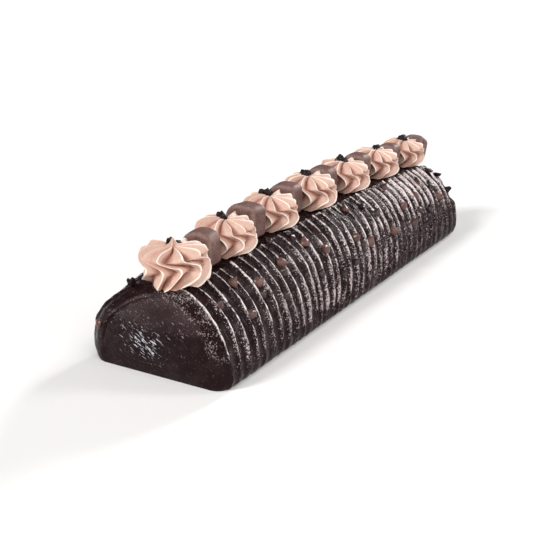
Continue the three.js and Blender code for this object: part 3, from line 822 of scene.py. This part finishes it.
class MakeRosettes(bpy.types.Operator):
    """The row of rosettes, piped from a star nozzle with a turn of the hand"""

    bl_idname = "swiss_roll.make_rosettes"
    bl_label = "Piped Rosettes"

    def crests(self, k, chance):
        """The crests' directions at four heights, and their strength over the waist."""
        places = np.array(NEXT_CRESTS if k else FIRST_CRESTS, dtype=float)
        count = len(places)
        if k:
            places[:, 1] += [chance.uniform(-4, 4) for _ in range(count)]
            places[:, 2] += [chance.uniform(-5, 5) for _ in range(count)]
            places[:, 3] += [chance.uniform(-5, 5) for _ in range(count)]
            upper = np.array([chance.uniform(0.7, 1.15) for _ in range(count)])
        else:
            upper = np.array(FIRST_UPPER)
        return np.radians(places), upper

    def pipe(self, context, name, k, material):
        """Pipes one rosette, as rings of corners that follow the crests."""
        roll, cream = context.scene.swiss_roll, context.scene.swiss_roll_cream
        chance = random.Random(100 + k)
        places, upper = self.crests(k, chance)
        count, parts = len(places), len(CREST_PARTS)
        name_here = name.replace("rosette", "piped_rosette")
        piece, row, column = ball(name_here, count * parts, len(ROSETTE_RINGS) - 1)
        rings = np.array(ROSETTE_RINGS)
        share, height, depth, furrow = rings[row].T
        this, part = column // parts, np.array(CREST_PARTS)[column % parts]

        # How far the furrow's side has come down from the crest on either side of it
        falling = np.interp(part / furrow, *zip(*AFTER_CREST))
        rising = np.interp((1 - part) / (1 - furrow), *zip(*BEFORE_CREST))
        level = np.where(part < furrow, falling, rising)

        hook_height, swing_over, swing_back = NEXT_HOOKS if k else FIRST_HOOKS
        to_hook = 1 - np.clip((height - hook_height) / (WAIST - hook_height), 0, 1) ** swing_over
        to_foot = np.clip((hook_height - height) / hook_height, 0, 1) ** swing_back

        def direction(crest):
            """The direction of a crest at each corner's height."""
            near_peak, waist, hook, foot = places[crest % count].T
            angle = waist + (near_peak - waist) * smooth(-share, -0.9, -0.1)
            angle += (hook - waist) * to_hook
            angle += (foot - hook) * to_foot
            return angle + 2 * np.pi * (crest // count)

        def strength(crest):
            """How strongly a crest stands out at each corner's height."""
            return 1 + (upper[crest % count] - 1) * smooth(height, 0.5, 0.66)

        angle = direction(this) * (1 - part) + direction(this + 1) * part
        power = strength(this) * (1 - part) + strength(this + 1) * part
        # The first rosette steps in under its waist, on the side towards the near end.
        aside = np.abs((angle + math.radians(75) + np.pi) % (2 * np.pi) - np.pi)
        aside = 0 * aside if k else hump(aside, math.radians(48))
        step_in = 2.4 * MM * aside * smooth(-height, -0.4, -0.25)
        angle += math.radians(CAMERA_SIDE - SIDE_TURN * (1 - math.exp(-k / 3.5)))

        # The furrows go in along the surface's own normal.
        slope = np.gradient(rings[:, :2] * [cream.radius, cream.height], axis=0)
        normal = np.stack([-slope[:, 1], slope[:, 0]], 1) / np.hypot(*slope.T)[:, None]
        outward, upward = normal[row].T
        if k:
            share = share - 0.07 * smooth(-height, -0.26, -0.02) * (share > 0.7)
        radius = cream.radius - (NARROWER_EACH * k + NARROWED[k]) * MM
        tall = cream.height - (LOWER_EACH * k + LOWERED[k]) * MM
        inward = radius * depth * (power * (0.55 * level - 0.12) + 0.4 * (1 - power))
        # Some crests end in a torn tip at the rim.
        torn = np.zeros(count)
        for crest in chance.sample(range(count), 3) + [2, 3]:
            torn[crest] = chance.uniform(0.9, 1.9) * MM
        tear = torn[this % count] * (part == 0) * hump(height - 0.79, 0.04)
        reach = radius * share + (inward + tear) * outward - step_in * smooth(share, 0.3, 0.8)
        hollow = aside * smooth(-height, -0.4, -0.05) * smooth(share, 0.5, 0.8)
        lift = (inward + tear) * upward + 2.2 * MM * hollow

        centre_x = FIRST_ROSETTE + cream.pitch * k
        x = centre_x + reach * np.cos(angle)
        y = ROW_ASIDE + reach * np.sin(angle)
        base = rest_height(roll, x, y)
        peak = strip_height(roll, centre_x) + tall
        if not k:
            height = height + 0.24 * hump(share, 0.09) * (height > 0.5)
        # The others lean over towards the -Y flank.
        tilt = 3.4 * MM * (k > 0) * height * np.clip((ROW_ASIDE - y) / radius, 0, 1)
        z = base + (peak - base) * height + lift * smooth(height, 0, 0.15) - tilt
        move_corners(piece, np.stack([x, y, z], 1))
        # The crest mark places the cream's painted shade in the furrows and its painted highlights on the
        # crests.
        mark_corners(piece, "crest", np.where(share > 0, 0.5 + 0.5 * level * np.clip(power, 0, 1), 0.5))

        # The crests stay thin when the piece is subdivided.
        ends = np.array([edge.vertices for edge in piece.data.edges])
        start, end = ends.T
        on_crest = (part[start] == 0) & (part[end] == 0) & (column[start] == column[end])
        crease = piece.data.attributes.new("crease_edge", "FLOAT", "EDGE")
        crease.data.foreach_set("value", (0.5 * on_crest).astype(np.float32))
        apply_modifier(piece, "SUBSURF", levels=2, render_levels=2)
        co = corners_of(piece)
        co += 0.16 * MM * rough(co, 3.5 * MM, k * 3.3)[:, None] * np.array([1, 1, 0.5])
        move_corners(piece, co)
        finish_piece(piece, material, "cream", name)

    def execute(self, context):
        material = buttercream(context.scene.swiss_roll_cream)
        for k, name in enumerate(ROSETTES):
            self.pipe(context, name, k, material)
        return {"FINISHED"}


# Crumbs on the first two rosettes, in mm: place from the peak along the row, across it and
# up, and size, with the thinness as a share of it
SHARDS = [[(1.2, 3.0, -4.2, 3.6, 0.3), (3.6, -0.4, -3.6, 2.2, 0.35)],
          [(1.6, 3.6, -3.0, 2.6, 0.8), (0.8, 1.4, -3.8, 2.4, 0.8), (1.8, 5.4, -4.2, 2.3, 0.8)]]
# The others have clumps: the number of crumbs in one, and how far some clumps lie from
# their usual place, in mm along the row, across it and up
CLUMP_CRUMBS = 6
CLUMP_SHIFTS = {3: (0.8, -0.4, 1.6), 5: (6, -3.3, -1.5)}
# Dark flakes that stand on the icing: place along the roll in mm, angle round it in degrees
# and size in mm
FLAKES = [(-162, 113, 2.8), (-158, 120, 1.8), (-26, 20, 2.4), (-7, 21, 2.2), (116, 28, 2.8), (119, 55, 3.0),
          (128, 44, 3.2), (133, 48, 2.6), (154, 35, 3.5), (152, 60, 3.4), (158, 53, 3.4), (146, 56, 2.8)]


class MakeCrumbs(bpy.types.Operator):
    """Dark crumbs behind the peaks of the rosettes, and flakes on the icing"""

    bl_idname = "swiss_roll.make_crumbs"
    bl_label = "Cake Crumbs"

    def crumb(self, place, size, thinness, chance):
        """One broken crumb: a ball broken into steps, flattened and turned any way."""
        deselect_all()
        bpy.ops.mesh.primitive_ico_sphere_add(subdivisions=3, radius=size * MM)
        piece = bpy.context.object
        co = corners_of(piece)
        facets = rough(co, 0.7 * size * MM, chance.uniform(0, 90))
        co *= 1 + 0.45 * np.round(facets * 3)[:, None] / 3 + 0.15 * facets[:, None]
        co *= [1, 0.8, thinness]
        turn = Euler([chance.uniform(0, 6.28) for _ in range(3)]).to_matrix()
        move_corners(piece, co @ np.array(turn).T + np.array(place))
        return piece

    def clump(self, k, chance):
        """The crumbs behind a rosette's peak: places, sizes and thinness."""
        if k < len(SHARDS):
            return SHARDS[k]
        grown = 1 + 0.14 * (k - 2)
        return [(2.0 + grown * chance.uniform(-2.2, 1.6), 3.4 + grown * chance.uniform(-2.6, 2.6),
                 chance.uniform(-4.6, -1.8), grown * chance.uniform(1.8, 2.8), 0.7)
                for _ in range(CLUMP_CRUMBS)]

    def execute(self, context):
        roll, cream = context.scene.swiss_roll, context.scene.swiss_roll_cream
        chance = random.Random(5)
        crumbs = []
        for k in range(len(ROSETTES)):
            centre_x = FIRST_ROSETTE + cream.pitch * k
            peak = strip_height(roll, centre_x) + cream.height - LOWER_EACH * MM * k
            centre = Vector((centre_x, ROW_ASIDE, peak)) + MM * Vector(CLUMP_SHIFTS.get(k, (0, 0, 0)))
            for across, left, up, size, thinness in self.clump(k, chance):
                place = centre + MM * Vector((across, left, up))
                crumbs.append(self.crumb(place, size, thinness, chance))
        for x_mm, up, size in FLAKES:
            place = flank_place(roll, x_mm * MM, math.radians(up), roll.ridge_height - 0.4 * size * MM)
            crumbs.append(self.crumb(place, size, 0.3, chance))
        join_pieces(crumbs, "cake_crumbs")
        finish_piece(crumbs[0], dark_crumb(context.scene.swiss_roll_crumbs), "icing")
        return {"FINISHED"}


# How far each bar's two ends stand from an even row, -Y end first, and how much lower the
# bar stands, in mm
BAR_ENDS = [(0, -2.7, 0), (0, 0, 0), (3.5, 1.7, 0), (5.3, 2.6, 0.3), (3, 0, 0.2), (3.3, -1.5, 1), (-2, -5, 0)]
# How far the tops slumped at the +Y end, and at the -Y end of the first bar and the others
LEFT_SLUMP = 8 * MM
FIRST_RIGHT_SLUMP = 5 * MM
RIGHT_SLUMP = 1.8 * MM
# How far the last bar slid towards its rosette, and its tip in radians
LAST_SLIDE = 12 * MM
LAST_TIP = 0.5


class MakeBars(bpy.types.Operator):
    """A bar of milk chocolate behind each rosette"""

    bl_idname = "swiss_roll.make_bars"
    bl_label = "Chocolate Bars"

    def block(self, name, size, edge):
        """A block with rounded edges, about its own middle."""
        deselect_all()
        bpy.ops.mesh.primitive_cube_add(size=1, scale=size)
        piece = bpy.context.object
        piece.name = name
        bpy.ops.object.transform_apply(scale=True)
        bpy.ops.object.mode_set(mode="EDIT")
        bpy.ops.mesh.select_all(action="SELECT")
        bpy.ops.mesh.bevel(offset=edge, segments=5, affect="EDGES")
        bpy.ops.object.mode_set(mode="OBJECT")
        apply_modifier(piece, "SUBSURF", levels=2, render_levels=2)
        return piece

    def execute(self, context):
        roll, cream = context.scene.swiss_roll, context.scene.swiss_roll_cream
        bar = context.scene.swiss_roll_bars
        material = milk_coating(bar)
        for k, name in enumerate(BARS):
            end, other_end, lowered = BAR_ENDS[k]
            last = k == len(BARS) - 1
            size = np.array(bar.size) + [0, (other_end - end) * MM, 0]
            half = size / 2
            piece = self.block(name.replace("chocolate_bar", "coated_bar"), size, bar.edge)
            co = corners_of(piece)
            # A corner near two faces at once lies on an edge.
            edge = smooth(np.sort(np.abs(co) / half, axis=1)[:, 1], 0.62, 0.9)
            # The coating slumped a little: narrower at the top, and lower at both ends.
            co[:, 0] *= 1.0 - 0.08 * smooth(co[:, 2], -half[2], half[2])
            high = np.clip((co[:, 2] + half[2]) / size[2], 0, 1)
            right_slump = RIGHT_SLUMP if k else FIRST_RIGHT_SLUMP
            co[:, 2] -= LEFT_SLUMP * high * np.clip(co[:, 1] / half[1] - 0.12, 0, 1) ** 1.8
            co[:, 2] -= right_slump * high * np.clip(-co[:, 1] / half[1] - 0.2, 0, 1) ** 1.8
            co *= 1 + 0.03 * rough(co, 8 * MM, k * 2.1)[:, None]
            # Each bar stands half way to the next rosette, turned and tipped a little.
            x = FIRST_ROSETTE + cream.pitch * (k + 0.5) - LAST_SLIDE * last
            y = (-0.9 - 0.7 * math.cos(2.3 * k) + (end + other_end) / 2) * MM
            lean_x = LAST_TIP if last else 0.05 * math.sin(1.7 * k)
            lean_y = 0.05 * math.sin(3.1 * k)
            tip = half[0] * abs(math.sin(lean_x)) + half[1] * abs(math.sin(lean_y))
            z = strip_height(roll, x) + half[2] + (0.5 * tip if last else tip + (1.2 - lowered) * MM)
            turn = Euler((lean_y, lean_x, 0.12 * math.sin(2.9 * k + 1)), "ZYX").to_matrix()
            move_corners(piece, co @ np.array(turn).T + np.array((x, y, z)))
            # Paler along the edges: partly rubbed coating, partly painted highlight
            mark_corners(piece, "crest", edge * 0.6)
            finish_piece(piece, material, "bar_coating", name)
        return {"FINISHED"}


# Soft lights: name, place that they shine from, strength, and spread in degrees
LIGHTS = [
    ("key_light", (-0.85, 0.42, 0.75), 2.3, 18),
    ("fill_light", (-0.35, -0.75, 0.65), 1.4, 60),
    ("back_light", (0.92, -0.08, 0.38), 1.7, 13),
    ("side_light", (0.5, -0.52, 0.7), 0.4, 12),
    ("low_light", (0.45, -0.8, 0.3), 0.5, 15)]
ROOM_LIGHT = 0.2
# The camera: the point that it aims at and its distance from there, its direction from
# there in degrees, and its lens and sensor in mm
AIM = Vector((-55.85, -2.5, 29.43)) * MM
DISTANCE = 624.96 * MM
AZIMUTH = math.radians(-59.26)
ELEVATION = math.radians(19.32)
LENS = 68.94
SENSOR = 36


class MakeStage(bpy.types.Operator):
    """A pale floor, soft studio lights and the camera"""

    bl_idname = "swiss_roll.make_stage"
    bl_label = "Stage"

    def execute(self, context):
        deselect_all()
        bpy.ops.mesh.primitive_plane_add(size=8)
        floor = context.object
        floor.name = "floor"
        floor.data.materials.append(pale_paper(context.scene.swiss_roll_stage))

        for name, place, strength, spread in LIGHTS:
            deselect_all()
            bpy.ops.object.light_add(type="SUN", location=place)
            light = context.object
            light.name = name
            light.data.energy = strength
            light.data.angle = math.radians(spread)
            light.rotation_euler = Vector(place).to_track_quat("Z", "Y").to_euler()
        world = bpy.data.worlds.new("soft_room")
        context.scene.world = world
        world.use_nodes = True
        set_inputs(world.node_tree.nodes["Background"], {"Color": (1, 1, 1, 1), "Strength": ROOM_LIGHT})
        context.scene.view_settings.view_transform = "Standard"

        across = math.cos(ELEVATION)
        back = Vector((math.sin(AZIMUTH) * across, -math.cos(AZIMUTH) * across, math.sin(ELEVATION)))
        turn = back.to_track_quat("Z", "Y").to_euler()
        bpy.ops.object.camera_add(location=AIM + back * DISTANCE, rotation=turn)
        camera = context.object
        camera.name = "photo_camera"
        camera.data.lens = LENS
        camera.data.sensor_width = SENSOR
        camera.data.clip_start = 10 * MM
        context.scene.camera = camera
        return {"FINISHED"}


class SwissRollPanel(bpy.types.Panel):
    """Lists the sizes, the colours and the operators"""

    bl_idname = "VIEW3D_PT_swiss_roll"
    bl_label = "Swiss Roll"
    bl_space_type = "VIEW_3D"
    bl_region_type = "UI"
    bl_category = "Swiss Roll"

    def draw(self, context):
        for operator in OPERATORS:
            self.layout.operator(operator.bl_idname)
        for group_name in GROUPS:
            group = getattr(context.scene, group_name)
            box = self.layout.box()
            for name in type(group).__annotations__:
                box.prop(group, name)


OPERATORS = [MakeStage, MakeRoll, MakeDrops, MakeRosettes, MakeCrumbs, MakeBars]
GROUPS = {
    "swiss_roll": RollProperties,
    "swiss_roll_cream": RosetteProperties,
    "swiss_roll_bars": BarProperties,
    "swiss_roll_drops": DropProperties,
    "swiss_roll_crumbs": CrumbProperties,
    "swiss_roll_stage": StageProperties,
}
CLASSES = [*GROUPS.values(), *OPERATORS, SwissRollPanel]


def register():
    """Registers the classes, and adds each group of settings to the scene."""
    for made in CLASSES:
        bpy.utils.register_class(made)
    for name, group in GROUPS.items():
        setattr(bpy.types.Scene, name, PointerProperty(type=group))


def unregister():
    """Takes the groups of settings and the classes away again."""
    for name in GROUPS:
        delattr(bpy.types.Scene, name)
    for made in reversed(CLASSES):
        bpy.utils.unregister_class(made)


def main():
    register()
    for operator in OPERATORS:
        group, action = operator.bl_idname.split(".")
        getattr(getattr(bpy.ops, group), action)()


if __name__ == "__main__":
    main()
